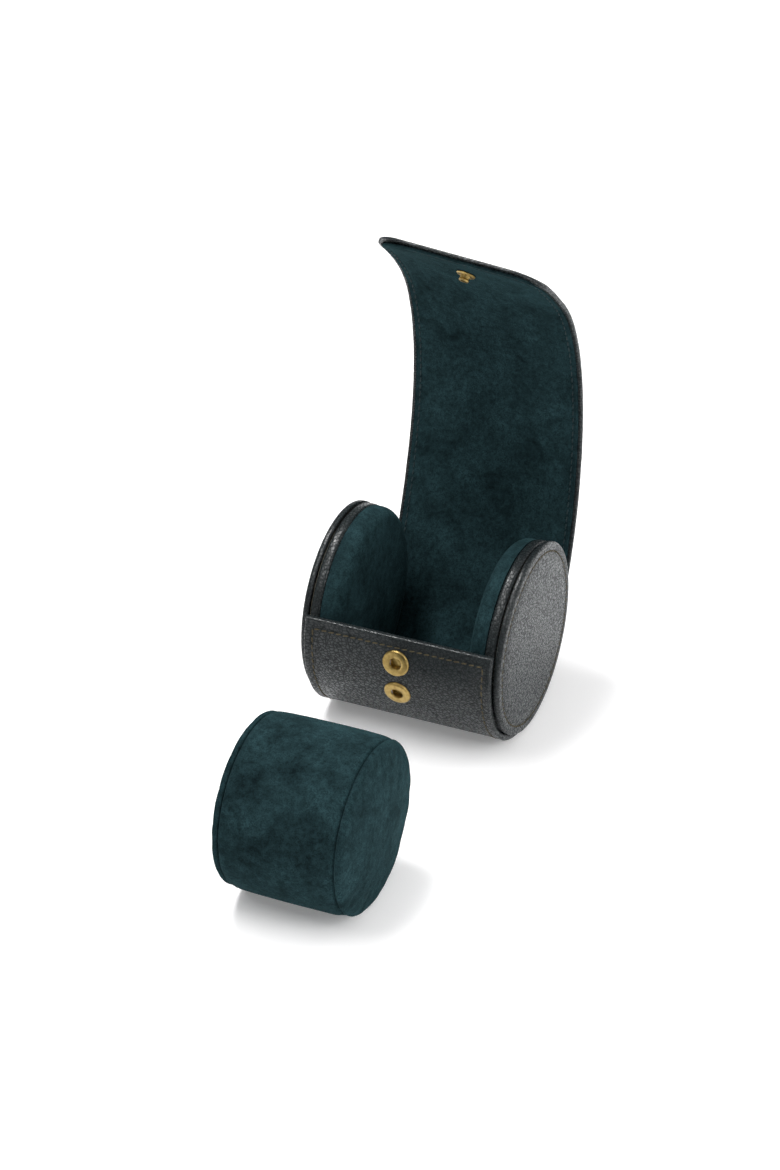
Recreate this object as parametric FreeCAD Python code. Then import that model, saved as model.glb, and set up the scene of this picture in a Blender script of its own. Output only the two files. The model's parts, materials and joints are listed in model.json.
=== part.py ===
import FreeCAD, Part
import math
import os

from FreeCAD import Placement, Rotation, Vector

# A round watch roll standing open: two stitched end discs, a wrap that is the floor and front
# of the case, a flap that runs on from the wrap at the back, and a loose round watch cushion.
# Millimetres. X runs along the roll, -Y is the front, Z is up, the origin is under the roll.

# Ends
CASE_LENGTH = 81.3        # over the two outer disc faces
DISC_R = 38.0             # leather covered end disc
DISC_THICK = 2.4
DISC_EDGE = 1.0           # rounding of the disc's outer edge
DISC_LEATHER = 1.0        # skin over the disc's board
RIM_STEP = 0.4            # rim band below the disc's edge
GROOVE = 0.6              # between disc and rim band
BAND_WIDTH = 4.0
BAND_THICK = 1.8
BAND_CROWN = 0.8          # rise of the band's rounded face
PAD_STEP = 0.3            # pad's edge below the rim band
PAD_LINE = 0.2            # seam between rim band and pad
PAD_THICK = 2.25
PAD_EDGE = 2.0            # rounding of the pad's inner edge

# Wrap, the curved floor and front
GLUE = 0.05               # between layers that are bonded
SEAT_GAP = 0.4            # between rim band and wrap
SIDE_GAP = 0.15           # between wrap and disc
WRAP_LEATHER = 1.1
WRAP_BOARD = 0.8
WRAP_LINING = 0.5
LIP_ANGLE = 19.8          # front lip, degrees above the axis
BACK_ANGLE = 39.0         # where the flap starts, degrees below the axis at the back
FLAT_DEPTH = 0.5          # flat under the roll and under the cushion

# Flap, one bendable sheet cut into lengths that hinge on their lining face
FLAP_LEATHER = 1.4
FLAP_LINING = 1.0
FLAP_SIDE = 0.85          # between flap and disc
FLAP_TAPER = 2.0          # narrower at the tip, each side
FLAP_CORNER = 12.0
FLAP_LENGTH = 14.8        # each length but the last
FLAP_TIP_LENGTH = 25.5    # the last length, which carries the stud
STUD_AT = 9.0             # stud, from the start of the last length
FLAP_BENDS = [7, 6, 6, 5, 5, 5, 6, 7, 9, 12, 18, 0]   # how each length curls, degrees
FLAP_GAP = 0.8            # between two lengths
TWIST = 1.0               # turn of the open flap about its own length, degrees at each hinge
TWIST_FROM = 4            # first hinge that twists, counted from 0

# Snap fastener
SNAP_ANGLES = {"upper": 4.9, "lower": -15.5}   # sockets, degrees above the axis
SOCKET_R = 5.4
SOCKET_RISE = 0.8
SOCKET_HOLE_R = 2.4
SOCKET_LIP = 0.6          # dished edge round the hole
TUBE_R = 3.4
TUBE_DEPTH = 1.75
SPRING_GROOVE_R = 3.2
SPRING_GROOVE = 0.7
SPRING_WIRE_R = 0.25
SNAP_FIT = 0.1            # round tubes and shanks
WASHER_R = 4.2
WASHER_THICK = 0.5
STUD_FLANGE_R = 3.7
STUD_FLANGE = 0.7
STUD_R = 2.0
STUD_WAIST_R = 1.75
STUD_HEIGHT = 2.9
STUD_BORE_R = 1.1
SHANK_R = 1.5

# Watch cushion, lying in front of the case
CUSHION_R = 33.0          # at the crown of its barrel
CUSHION_HALF = 26.5       # half length to the end seams
CUSHION_CROWN = 0.7       # barrel's rise over its length
CUSHION_EDGE = 4.0        # rounding at the ends
CUSHION_WALL = 1.6        # suede and its backing
END_CROWN = 0.8           # rise of the padded ends
END_SINK = 0.6            # depth of the end seam
SEAM_GAP = 0.3
CUSHION_SHIFT = 3.4       # along the roll
CUSHION_AWAY = 123.0      # in front of the roll's axis

# Worked out from the above
HALF = CASE_LENGTH / 2
DISC_INNER = HALF - DISC_THICK
RIM_R = DISC_R - RIM_STEP
BAND_OUTER_X = DISC_INNER - GROOVE
BAND_INNER_X = BAND_OUTER_X - BAND_WIDTH
CORE_R = RIM_R - BAND_THICK - GLUE
PAD_R = RIM_R - PAD_STEP
PAD_BACK_X = BAND_INNER_X - PAD_LINE
PAD_FACE_X = PAD_BACK_X - PAD_THICK
LINING_R = RIM_R + SEAT_GAP
BOARD_R = LINING_R + WRAP_LINING
LEATHER_R = BOARD_R + WRAP_BOARD
WRAP_R = LEATHER_R + WRAP_LEATHER
WRAP_HALF = DISC_INNER - SIDE_GAP
AXIS_Z = WRAP_R - FLAT_DEPTH
FLAP_THICK = FLAP_LEATHER + FLAP_LINING
FLAP_HALF = DISC_INNER - FLAP_SIDE
FLAP_TIP_HALF = FLAP_HALF - FLAP_TAPER
CUSHION_Z = CUSHION_R - FLAT_DEPTH
BACK_PHI = BACK_ANGLE - 180
X_AXIS, Y_AXIS, Z_AXIS = Vector(1, 0, 0), Vector(0, 1, 0), Vector(0, 0, 1)
AXIS_POINT = Vector(0, 0, AXIS_Z)
CUSHION_POINT = Vector(CUSHION_SHIFT, -CUSHION_AWAY, CUSHION_Z)
WIDE = 4 * CASE_LENGTH    # larger than anything, for cutting


def line(a, b):
    return Part.LineSegment(a, b).toShape()


def arc(a, middle, b):
    return Part.Arc(a, middle, b).toShape()


def quarter(a, b, centre):
    """Quarter round from a to b about a centre."""
    out = (a - centre) + (b - centre)
    return arc(a, centre + out * ((a - centre).Length / out.Length), b)


def polyline(points):
    return [line(a, b) for a, b in zip(points, points[1:])]


def face_of(edges):
    return Part.Face(Part.Wire(edges))


def turned(edges, point, axis):
    return face_of(edges).revolve(point, axis, 360)


def rod_x(radius, x_from, x_to, centre):
    start = Vector(x_from, centre.y, centre.z)
    return Part.makeCylinder(radius, x_to - x_from, start, X_AXIS)


def around(r, phi, x=0.0):
    """Point at radius r from the roll's axis, phi degrees above the axis as seen at the front."""
    a = math.radians(phi)
    return Vector(x, -r * math.cos(a), AXIS_Z + r * math.sin(a))


def along(length, radius):
    """Degrees that a length takes up on a circle."""
    return math.degrees(length / radius)


def above_floor(shape):
    floor = Part.makeBox(WIDE, WIDE, WIDE, Vector(-WIDE / 2, -WIDE / 2, -WIDE))
    return shape.cut(floor)


def both_ends(name, right):
    """The right-hand piece and its mirror image on the left."""
    return {name + "_right": right, name + "_left": right.mirror(Vector(), X_AXIS)}


def end_profile(x, r):
    return Vector(x, 0, AXIS_Z + r)


def end_disc():
    """Leather skin of an end disc, turned over the edge of its board."""
    p = end_profile
    rim_in = DISC_R - DISC_LEATHER
    skin_x = HALF - DISC_LEATHER
    edges = polyline([p(HALF, 0), p(HALF, DISC_R - DISC_EDGE)])
    edges += [quarter(p(HALF, DISC_R - DISC_EDGE), p(HALF - DISC_EDGE, DISC_R),
                      p(HALF - DISC_EDGE, DISC_R - DISC_EDGE))]
    edges += polyline([p(HALF - DISC_EDGE, DISC_R), p(DISC_INNER, DISC_R), p(DISC_INNER, rim_in),
                       p(skin_x, rim_in), p(skin_x, 0), p(HALF, 0)])
    return turned(edges, AXIS_POINT, X_AXIS)


def end_board():
    return rod_x(DISC_R - DISC_LEATHER - GLUE, DISC_INNER, HALF - DISC_LEATHER - GLUE, AXIS_POINT)


def rim_band():
    """Rounded leather band beside the disc, on which the closed flap lies."""
    p = end_profile
    low, shoulder = RIM_R - BAND_THICK, RIM_R - BAND_CROWN
    crown = p((BAND_OUTER_X + BAND_INNER_X) / 2, RIM_R)
    edges = polyline([p(BAND_INNER_X, shoulder), p(BAND_INNER_X, low), p(BAND_OUTER_X, low),
                      p(BAND_OUTER_X, shoulder)])
    edges += [arc(p(BAND_OUTER_X, shoulder), crown, p(BAND_INNER_X, shoulder))]
    return turned(edges, AXIS_POINT, X_AXIS)


def end_core():
    return rod_x(CORE_R, BAND_INNER_X, DISC_INNER - GLUE, AXIS_POINT)


def end_pad():
    """Padded suede face inside the case, with a soft edge."""
    p = end_profile
    edges = polyline([p(PAD_FACE_X, 0), p(PAD_BACK_X, 0), p(PAD_BACK_X, PAD_R),
                      p(PAD_FACE_X + PAD_EDGE, PAD_R)])
    edges += [quarter(p(PAD_FACE_X + PAD_EDGE, PAD_R), p(PAD_FACE_X, PAD_R - PAD_EDGE),
                      p(PAD_FACE_X + PAD_EDGE, PAD_R - PAD_EDGE))]
    edges += polyline([p(PAD_FACE_X, PAD_R - PAD_EDGE), p(PAD_FACE_X, 0)])
    return turned(edges, AXIS_POINT, X_AXIS)


def wrap_layer(r_in, r_out, phi_front, phi_back):
    """One layer of the wrap, a piece of a tube from the front lip under the roll to the back."""
    middle = (phi_front + phi_back) / 2
    x = -WRAP_HALF
    edges = [
        arc(around(r_out, phi_front, x), around(r_out, middle, x), around(r_out, phi_back, x)),
        line(around(r_out, phi_back, x), around(r_in, phi_back, x)),
        arc(around(r_in, phi_back, x), around(r_in, middle, x), around(r_in, phi_front, x)),
        line(around(r_in, phi_front, x), around(r_out, phi_front, x)),
    ]
    return face_of(edges).extrude(X_AXIS * (2 * WRAP_HALF))


def socket_placement(phi):
    """Frame on the leather at the front whose Z points out of the roll."""
    return Placement(around(WRAP_R, phi), Rotation(X_AXIS, 90 - phi))


def socket_hole(phi, radius):
    hole = Part.makeCylinder(radius, 2 * WRAP_R, Vector(0, 0, LINING_R - WRAP_R))
    hole.Placement = socket_placement(phi)
    return hole


def wrap():
    """Leather, board and lining of the wrap. The leather rolls over the board at the front lip."""
    thick = WRAP_R - LINING_R
    roll_r = thick / 2
    roll_mid = LINING_R + roll_r
    phi_roll = LIP_ANGLE - along(roll_r, roll_mid)
    phi_end = BACK_PHI + along(FLAP_GAP / 2, WRAP_R)
    roll = rod_x(roll_r, -WRAP_HALF, WRAP_HALF, around(roll_mid, phi_roll))
    room = rod_x(roll_r + GLUE, -WIDE, WIDE, around(roll_mid, phi_roll))
    leather = wrap_layer(LEATHER_R, WRAP_R, phi_roll, phi_end).fuse(roll).removeSplitter()
    board = wrap_layer(BOARD_R, LEATHER_R - GLUE, phi_roll, phi_end).cut(room)
    lining = wrap_layer(LINING_R, BOARD_R - GLUE, phi_roll, phi_end).cut(room)
    for phi in SNAP_ANGLES.values():
        leather = leather.cut(socket_hole(phi, TUBE_R + SNAP_FIT))
        board = board.cut(socket_hole(phi, WASHER_R + SNAP_FIT))
    return {"wrap_leather": above_floor(leather), "wrap_board": board, "wrap_lining": lining}


def snap_profile(r, z):
    return Vector(r, 0, z)


def socket():
    """Female half of a snap: a domed ring on a tube, with a groove inside for its two springs."""
    p = snap_profile
    hole, groove = SOCKET_HOLE_R, SPRING_GROOVE / 2
    shoulder = SOCKET_RISE - GLUE
    edges = polyline([p(hole, groove), p(hole, SOCKET_RISE - SOCKET_LIP / 2),
                      p(hole + SOCKET_LIP, SOCKET_RISE), p(SOCKET_R - shoulder, SOCKET_RISE)])
    edges += [quarter(p(SOCKET_R - shoulder, SOCKET_RISE), p(SOCKET_R, GLUE),
                      p(SOCKET_R - shoulder, GLUE))]
    edges += polyline([p(SOCKET_R, GLUE), p(TUBE_R, GLUE), p(TUBE_R, -TUBE_DEPTH),
                       p(hole, -TUBE_DEPTH), p(hole, -groove), p(SPRING_GROOVE_R, -groove),
                       p(SPRING_GROOVE_R, groove), p(hole, groove)])
    return turned(edges, Vector(), Z_AXIS)


def socket_springs():
    """Two straight wires, one each side of the hole."""
    off = SOCKET_HOLE_R - SNAP_FIT + SPRING_WIRE_R
    half = math.sqrt((SPRING_GROOVE_R - GLUE) ** 2 - (off + SPRING_WIRE_R) ** 2)
    wires = []
    for side in (-1, 1):
        start = Vector(-half, side * off, 0)
        wires.append(Part.makeCylinder(SPRING_WIRE_R, 2 * half, start, X_AXIS))
    return wires


def ring(r_out, r_in, thick, z):
    outer = Part.makeCylinder(r_out, thick, Vector(0, 0, z))
    return outer.cut(Part.makeCylinder(r_in, thick, Vector(0, 0, z)))


def placed(shape, placement):
    moved = shape.copy()
    moved.Placement = placement.multiply(moved.Placement)
    return moved


def sockets():
    nodes, springs, washers = {}, [], []
    sag = LEATHER_R - math.sqrt(LEATHER_R ** 2 - WASHER_R ** 2)
    sunk = -WRAP_LEATHER - sag - GLUE - WASHER_THICK
    washer = ring(WASHER_R, TUBE_R + SNAP_FIT, WASHER_THICK, sunk)
    for name, phi in SNAP_ANGLES.items():
        seat = socket_placement(phi)
        nodes["snap_socket_" + name] = placed(socket(), seat)
        springs += [placed(wire, seat) for wire in socket_springs()]
        washers.append(placed(washer, seat))
    nodes["snap_springs"] = Part.makeCompound(springs)
    nodes["snap_washers"] = Part.makeCompound(washers)
    return nodes


def flap_lengths():
    """Lengths of the flap's pieces, measured on the leather."""
    count = len(FLAP_BENDS)
    return [FLAP_LENGTH] * (count - 1) + [FLAP_TIP_LENGTH]


def flap_frames():
    """Two frames at the start of each length: before and after the open flap's twist there.

    X lies across the flap, Y along it towards the tip and Z out of its lining. The origin is on
    the leather, and the hinge crosses the lining face above it.
    """
    lean = Rotation(X_AXIS, 90 - BACK_ANGLE)
    frame = Placement(around(WRAP_R, BACK_PHI), lean)
    hinge = Placement(Vector(0, 0, FLAP_THICK), Rotation())
    frames = []
    for index, (length, bend) in enumerate(zip(flap_lengths(), FLAP_BENDS)):
        before = frame
        if index >= TWIST_FROM:
            twist = Placement(Vector(), Rotation(Y_AXIS, -TWIST))
            frame = frame.multiply(hinge).multiply(twist).multiply(hinge.inverse())
        frames.append((before, frame))
        frame = frame.multiply(flap_end(length, bend))
    return frames


def flap_end(length, bend):
    """Step from the start of a length to its end, along its curl."""
    if bend == 0:
        return Placement(Vector(0, length, 0), Rotation())
    turn = math.radians(bend)
    radius = length / turn
    end = Vector(0, radius * math.sin(turn), radius * (1 - math.cos(turn)))
    return Placement(end, Rotation(X_AXIS, bend))


def flap_sheet(length, bend, z_from, z_to):
    """A layer of one length, curled or flat, wider than the flap."""
    x = -FLAP_HALF - FLAP_CORNER
    start, stop = FLAP_GAP / 2, length - FLAP_GAP / 2

    def point(s, z):
        step = flap_end(s, bend * s / length)
        return step.multVec(Vector(x, 0, z))

    def side(z, a, b):
        if bend == 0:
            return line(point(a, z), point(b, z))
        return arc(point(a, z), point((a + b) / 2, z), point(b, z))

    edges = [side(z_from, start, stop), line(point(stop, z_from), point(stop, z_to)),
             side(z_to, stop, start), line(point(start, z_to), point(start, z_from))]
    return face_of(edges).extrude(X_AXIS * (-2 * x))


def flap_outline(half_start, half_end, length, corner):
    """Prism of a length's outline, with rounded corners at the tip."""
    z = -WRAP_R

    def p(x, s):
        return Vector(x, s, z)

    edges = polyline([p(-half_end, length - corner), p(-half_start, 0), p(half_start, 0),
                      p(half_end, length - corner)])
    inner = half_end - corner
    if corner:
        edges += [quarter(p(half_end, length - corner), p(inner, length), p(inner, length - corner))]
    edges += [line(p(inner, length), p(-inner, length))]
    if corner:
        edges += [quarter(p(-inner, length), p(-half_end, length - corner), p(-inner, length - corner))]
    return face_of(edges).extrude(Z_AXIS * (2 * WRAP_R))


def stud():
    """Male half of the snap: a hollow nub with a waist, on a flange and a shank."""
    p = snap_profile
    shank = FLAP_LINING + WASHER_THICK
    neck = (STUD_FLANGE + STUD_HEIGHT) / 2
    edges = polyline([p(0, -shank), p(SHANK_R, -shank), p(SHANK_R, GLUE), p(STUD_FLANGE_R, GLUE),
                      p(STUD_FLANGE_R, STUD_FLANGE / 2), p(STUD_FLANGE_R - STUD_FLANGE / 2, STUD_FLANGE),
                      p(STUD_R, STUD_FLANGE), p(STUD_WAIST_R, neck),
                      p(STUD_R, (neck + STUD_HEIGHT) / 2), p(STUD_WAIST_R, STUD_HEIGHT),
                      p(STUD_BORE_R, STUD_HEIGHT), p(STUD_BORE_R, STUD_FLANGE), p(0, STUD_FLANGE),
                      p(0, -shank)])
    return turned(edges, Vector(), Z_AXIS)


def flap():
    """Leather and lining of each length of the flap, and the stud on the last one."""
    nodes = {}
    lengths = flap_lengths()
    taper = FLAP_TAPER / sum(lengths)
    done = 0.0
    for index, (frames, length, bend) in enumerate(zip(flap_frames(), lengths, FLAP_BENDS)):
        half_start, half_end = FLAP_HALF - taper * done, FLAP_HALF - taper * (done + length)
        done += length
        last = index == len(lengths) - 1
        outline = flap_outline(half_start, half_end, length, FLAP_CORNER if last else 0)
        leather = flap_sheet(length, bend, 0, FLAP_LEATHER - GLUE).common(outline)
        lining = flap_sheet(length, bend, FLAP_LEATHER, FLAP_THICK).common(outline)
        if last:
            seat = flap_end(STUD_AT, bend * STUD_AT / length)
            face = seat.multiply(Placement(Vector(0, 0, FLAP_THICK), Rotation()))
            sunk = -FLAP_LINING - GLUE - WASHER_THICK
            pocket = Part.makeCylinder(WASHER_R + SNAP_FIT, WASHER_THICK + SNAP_FIT + 2 * GLUE,
                                       Vector(0, 0, sunk - SNAP_FIT))
            leather = leather.cut(placed(pocket, face))
            shank_hole = Part.makeCylinder(SHANK_R + SNAP_FIT, 2 * FLAP_LINING,
                                           Vector(0, 0, -FLAP_LINING - GLUE))
            lining = lining.cut(placed(shank_hole, face))
            washer = ring(WASHER_R, SHANK_R + SNAP_FIT, WASHER_THICK, sunk)
            nodes["snap_stud"] = placed(placed(stud(), face), frames[1])
            nodes["stud_washer"] = placed(placed(washer, face), frames[1])
        number = "%02d" % (index + 1)
        nodes["flap_leather_" + number] = placed(leather, frames[1])
        nodes["flap_lining_" + number] = placed(lining, frames[1])
    return nodes


def cushion_profile(x, r):
    return CUSHION_POINT + Vector(x, 0, r)


def cushion_barrel():
    """Outer form of the cushion without its ends: a crowned barrel with soft edges."""
    p = cushion_profile
    h, e = CUSHION_HALF, CUSHION_EDGE
    side = CUSHION_R - CUSHION_CROWN
    seam = side - e
    edges = polyline([p(-h, 0), p(-h, seam)])
    edges += [quarter(p(-h, seam), p(e - h, side), p(e - h, seam))]
    edges += [arc(p(e - h, side), p(0, CUSHION_R), p(h - e, side))]
    edges += [quarter(p(h - e, side), p(h, seam), p(h - e, seam))]
    edges += polyline([p(h, seam), p(h, 0), p(-h, 0)])
    return turned(edges, CUSHION_POINT, X_AXIS)


def cushion_end():
    """Padded right-hand end, domed and sunk a little at its seam."""
    p = cushion_profile
    back = CUSHION_HALF - CUSHION_WALL
    rim_x, top_x = CUSHION_HALF - END_SINK, CUSHION_HALF + END_CROWN
    r = CUSHION_R - CUSHION_CROWN - CUSHION_EDGE - SEAM_GAP
    rise = top_x - rim_x
    dome = (r * r + rise * rise) / (2 * rise)
    half_turn = math.asin(r / dome) / 2
    middle = p(top_x - dome * (1 - math.cos(half_turn)), dome * math.sin(half_turn))
    edges = polyline([p(top_x, 0), p(back, 0), p(back, r), p(rim_x, r)])
    edges += [arc(p(rim_x, r), middle, p(top_x, 0))]
    return turned(edges, CUSHION_POINT, X_AXIS)


def cushion():
    """Foam core, suede cover and two padded ends of the loose cushion."""
    seam = CUSHION_R - CUSHION_CROWN - CUSHION_EDGE
    inside = CUSHION_HALF - CUSHION_WALL
    x = CUSHION_SHIFT
    room_r = CUSHION_R - CUSHION_CROWN - CUSHION_WALL
    room = rod_x(room_r, x - inside, x + inside, CUSHION_POINT)
    mouth = rod_x(seam, x - 2 * CUSHION_HALF, x + 2 * CUSHION_HALF, CUSHION_POINT)
    core = rod_x(room_r - GLUE, x - inside + GLUE, x + inside - GLUE, CUSHION_POINT)
    right = cushion_end()
    return {
        "cushion_cover": above_floor(cushion_barrel().cut(room).cut(mouth)),
        "cushion_core": core,
        "cushion_end_right": right,
        "cushion_end_left": right.mirror(CUSHION_POINT, X_AXIS),
    }


def all_nodes():
    nodes = {}
    for name, make in (("end_disc", end_disc), ("end_board", end_board), ("rim_band", rim_band),
                       ("end_core", end_core), ("end_pad", end_pad)):
        nodes.update(both_ends(name, make()))
    for make in (wrap, sockets, flap, cushion):
        nodes.update(make())
    return nodes


def main():
    os.makedirs("parts", exist_ok=True)
    for name, shape in all_nodes().items():
        shape.exportStep("parts/%s.step" % name)
        print(name, len(shape.Solids), "solid", shape.isValid(), round(shape.Volume, 1), "mm3")


if __name__ == "__main__":
    main()
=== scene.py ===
# %% [markdown]
# # A round watch roll in leather and suede
#
# This lesson dresses a watch roll that stands open, with its cushion lying in front of it. The
# imported model gives the main sizes and every hinge: each piece is modelled where its imported node is,
# and all but the flap's pieces then ride on the body that carries them. What the imported model leaves
# out, such as stitches, soft edges and finishes, has its sizes at the top of the cell that makes it.

# %% Load the imported model
import json
import math

import bmesh
import bpy
from mathutils import Matrix, Quaternion, Vector

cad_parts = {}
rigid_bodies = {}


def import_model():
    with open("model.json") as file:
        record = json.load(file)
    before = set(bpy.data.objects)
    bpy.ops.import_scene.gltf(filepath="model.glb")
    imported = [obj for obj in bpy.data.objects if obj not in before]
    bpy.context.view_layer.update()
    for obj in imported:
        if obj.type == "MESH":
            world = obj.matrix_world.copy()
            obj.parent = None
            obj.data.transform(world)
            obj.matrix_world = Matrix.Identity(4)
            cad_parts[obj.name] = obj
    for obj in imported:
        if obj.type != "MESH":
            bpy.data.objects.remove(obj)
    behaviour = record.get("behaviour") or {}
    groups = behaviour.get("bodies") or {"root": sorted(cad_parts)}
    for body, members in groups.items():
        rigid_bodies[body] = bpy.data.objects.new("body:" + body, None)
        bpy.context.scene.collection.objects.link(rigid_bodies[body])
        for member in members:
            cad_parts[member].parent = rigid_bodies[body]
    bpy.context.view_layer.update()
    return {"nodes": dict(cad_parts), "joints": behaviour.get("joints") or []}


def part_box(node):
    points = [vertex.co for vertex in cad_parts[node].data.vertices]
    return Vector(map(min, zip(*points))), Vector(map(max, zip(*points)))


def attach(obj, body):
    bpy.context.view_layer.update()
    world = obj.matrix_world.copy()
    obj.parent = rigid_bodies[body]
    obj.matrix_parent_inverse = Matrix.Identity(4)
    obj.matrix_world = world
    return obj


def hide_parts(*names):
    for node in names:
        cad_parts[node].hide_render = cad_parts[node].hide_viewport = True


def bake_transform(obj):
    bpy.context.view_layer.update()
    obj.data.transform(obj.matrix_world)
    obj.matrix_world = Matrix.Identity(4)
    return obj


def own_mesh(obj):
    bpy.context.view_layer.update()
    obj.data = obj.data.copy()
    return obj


bpy.ops.object.select_all(action="SELECT")
bpy.ops.object.delete()
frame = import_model()
MM = 0.001

# %% [markdown]
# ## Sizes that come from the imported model
#
# A node's box gives the radius and place of each round piece, and the flap's hinges give the line
# that its lining follows. Reading them here keeps the looks and the mechanism on the same numbers.

# %% Read sizes and hinges
disc_low, disc_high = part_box("end_disc_right")
AXIS = Vector((0, 0, (disc_low.z + disc_high.z) / 2))
DISC_R = (disc_high.z - disc_low.z) / 2
HALF_LENGTH = disc_high.x
DISC_INNER = disc_low.x

flap_joints = sorted((j for j in frame["joints"] if j["child"].startswith("flap_")), key=lambda j: j["child"])
HINGES = [Vector(j["pos_m"]) for j in flap_joints]
FLAP_BODIES = [j["child"] for j in flap_joints]
CASE = flap_joints[0]["parent"]
wrap_low, wrap_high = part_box("wrap_leather")
WRAP_R = -wrap_low.y
WRAP_HALF = wrap_high.x
SHEET = 2.4 * MM              # leather, board and lining together
LINING_R = WRAP_R - SHEET
print("disc radius", round(DISC_R / MM, 2), "lining radius", round(LINING_R / MM, 2))

# %% [markdown]
# ## Small helpers for working as by hand
#
# Operators act on whatever is selected, so each step first clears the selection, then picks faces
# or edges by where they are. These helpers keep that to one line each.

# %% Helpers


def clear_selection():
    if bpy.context.object and bpy.context.object.mode != "OBJECT":
        bpy.ops.object.mode_set(mode="OBJECT")
    bpy.ops.object.select_all(action="DESELECT")


def take(piece):
    """Make one piece the only selected and the active one."""
    clear_selection()
    piece.select_set(True)
    bpy.context.view_layer.objects.active = piece


def new_piece(name):
    """Name the object that an add operator has just made."""
    piece = bpy.context.object
    piece.name = piece.data.name = name
    return piece


def edit(piece, kind="FACE"):
    take(piece)
    bpy.ops.object.mode_set(mode="EDIT")
    start_picking(piece, kind)


def finish_edit():
    bpy.ops.object.mode_set(mode="OBJECT")


def select_all():
    bpy.ops.mesh.select_all(action="SELECT")


def start_picking(piece, kind):
    """Clear the selection in edit mode and open the mesh."""
    bpy.ops.mesh.select_mode(type=kind)
    bpy.ops.mesh.select_all(action="DESELECT")
    return bmesh.from_edit_mesh(piece.data)


def pick_faces(piece, test):
    """Select the faces whose middle and normal pass a test."""
    mesh = start_picking(piece, "FACE")
    for face in mesh.faces:
        face.select_set(bool(test(face.calc_center_median(), face.normal)))
    bmesh.update_edit_mesh(piece.data)


def pick_verts(piece, test):
    """Select the vertices whose place passes a test."""
    mesh = start_picking(piece, "VERT")
    for vert in mesh.verts:
        vert.select_set(bool(test(vert.co)))
    mesh.select_flush_mode()
    bmesh.update_edit_mesh(piece.data)


def near(a, b, room=0.02 * MM):
    return abs(a - b) < room


def cut_across(piece, places, axis):
    """Cut a piece by planes square to an axis, so that it can bend there."""
    normal = [0, 0, 0]
    normal[axis] = 1
    edit(piece)
    for place in places:
        point = [0, 0, 0]
        point[axis] = place
        select_all()
        bpy.ops.mesh.bisect(plane_co=point, plane_no=normal)
    finish_edit()


def apply_modifiers(piece):
    take(piece)
    for modifier in list(piece.modifiers):
        bpy.ops.object.modifier_apply(modifier=modifier.name)


def apply_place(piece):
    take(piece)
    bpy.ops.object.transform_apply(location=True, rotation=True, scale=True)


def smooth(piece, angle=40):
    take(piece)
    bpy.ops.object.shade_smooth_by_angle(angle=math.radians(angle))


def copy_of(piece, name):
    twin = piece.copy()
    twin.data = piece.data.copy()
    twin.name = twin.data.name = name
    bpy.context.collection.objects.link(twin)
    return twin


def remember_pattern(piece):
    """Keep the unbent place of each point, which the grain and nap follow when the piece bends."""
    mesh = piece.data
    store = mesh.attributes.get("pattern") or mesh.attributes.new("pattern", "FLOAT_VECTOR", "POINT")
    for value, vert in zip(store.data, mesh.vertices):
        value.vector = vert.co


def wear(piece, material):
    piece.data.materials.clear()
    piece.data.materials.append(material)


def rest_on_floor(piece):
    """Flatten what would lie below the floor, as the weight on it does."""
    for vert in piece.data.vertices:
        vert.co.z = max(vert.co.z, 0)


def steps(start, stop, size):
    """Evenly spaced places from start to stop, about a size apart, ends left out."""
    count = max(1, round((stop - start) / size))
    return [start + (stop - start) * i / count for i in range(1, count)]


def direction(azimuth, elevation):
    """Way to a place seen from the roll, in degrees. Azimuth 0 is the front, 90 the right."""
    a, e = math.radians(azimuth), math.radians(elevation)
    return Vector((math.sin(a) * math.cos(e), -math.cos(a) * math.cos(e), math.sin(e)))


def looking_back(away):
    """Rotation of a camera or light that stands that way and faces the roll."""
    return (-away).to_track_quat("-Z", "Y").to_euler()


# %% Helpers for node trees


class Nodes:
    """Short way to add nodes to a tree and join them."""

    def __init__(self, tree):
        self.tree = tree

    def add(self, kind, **settings):
        node = self.tree.nodes.new(kind)
        for name, value in settings.items():
            setattr(node, name, value)
        return node

    def feed(self, socket, value):
        """Give an input its value: the output of another node, or a constant."""
        if isinstance(value, bpy.types.NodeSocket):
            self.tree.links.new(value, socket)
        else:
            socket.default_value = value

    def fill(self, node, **values):
        """Feed a node's inputs by name, with _ for a space."""
        for name, value in values.items():
            self.feed(node.inputs[name.replace("_", " ")], value)
        return node

    def noise(self, vector, scale, detail=3.0, roughness=0.5, distortion=0.0):
        node = self.add("ShaderNodeTexNoise")
        self.fill(node, Vector=vector, Scale=scale, Detail=detail, Roughness=roughness, Distortion=distortion)
        return node.outputs["Fac"]

    def cells(self, vector, scale):
        """Distance from the edge of the nearest cell."""
        node = self.add("ShaderNodeTexVoronoi", feature="DISTANCE_TO_EDGE")
        return self.fill(node, Vector=vector, Scale=scale).outputs["Distance"]

    def math(self, operation, a, b, kind="ShaderNodeMath"):
        node = self.add(kind, operation=operation)
        self.feed(node.inputs[0], a)
        self.feed(node.inputs[1], b)
        return node.outputs[0]

    def blend(self, a, a_share, b, b_share):
        return self.math("ADD", self.math("MULTIPLY", a, a_share), self.math("MULTIPLY", b, b_share))

    def remap(self, value, low, high, to_low=0.0, to_high=1.0):
        node = self.add("ShaderNodeMapRange", clamp=True)
        self.fill(node, Value=value, From_Min=low, From_Max=high, To_Min=to_low, To_Max=to_high)
        return node.outputs["Result"]

    def mix(self, share, a, b):
        """Mix two colours."""
        node = self.fill(self.add("ShaderNodeMix", data_type="RGBA"), Factor=share)
        self.feed(node.inputs[6], a)
        self.feed(node.inputs[7], b)
        return node.outputs[2]


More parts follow.
